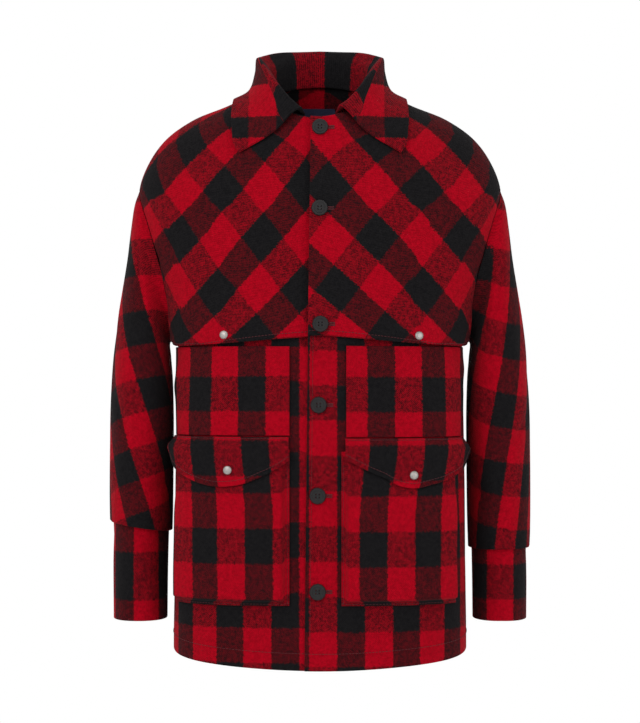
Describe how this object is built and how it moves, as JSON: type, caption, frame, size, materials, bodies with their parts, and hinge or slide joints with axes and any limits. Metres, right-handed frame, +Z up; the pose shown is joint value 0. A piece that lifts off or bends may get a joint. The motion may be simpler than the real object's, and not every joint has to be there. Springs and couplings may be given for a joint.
{
  "type": "wool jacket",
  "caption": "Red and black buffalo-check wool jacket with a shoulder cape, over-sleeves, pointed collar, button front and bellows pockets with snap flaps.",
  "frame": {"origin": "middle of the neck opening, at the height of the back neck seam, where the wearer's neck and shoulders hold the jacket", "axes": "+Z up the wearer, the front faces -Y, the wearer's left is at +X"},
  "size_m": [0.555, 0.3014, 0.8139],
  "materials": {
    "wool": "red and black buffalo-check wool, napped",
    "button": "dark horn-like, half gloss",
    "snap": "worn nickel",
    "label": "dark blue woven tape, blank"
  },
  "bodies": {
    "root": {"front_right": "wool", "front_left": "wool", "back": "wool", "cape_front_right": "wool", "cape_front_left": "wool", "cape_back": "wool", "sleeve_right": "wool", "sleeve_left": "wool", "oversleeve_right": "wool", "oversleeve_left": "wool", "collar": "wool", "upper_patch_right": "wool", "upper_patch_left": "wool", "pocket_right": "wool", "pocket_left": "wool", "pocket_flap_right": "wool", "pocket_flap_left": "wool", "button_1": "button", "button_2": "button", "button_3": "button", "button_4": "button", "button_5": "button", "button_6": "button", "snap_cape_right": "snap", "snap_cape_left": "snap", "snap_flap_right": "snap", "snap_flap_left": "snap", "neck_label": "label"}
  },
  "joints": []
}
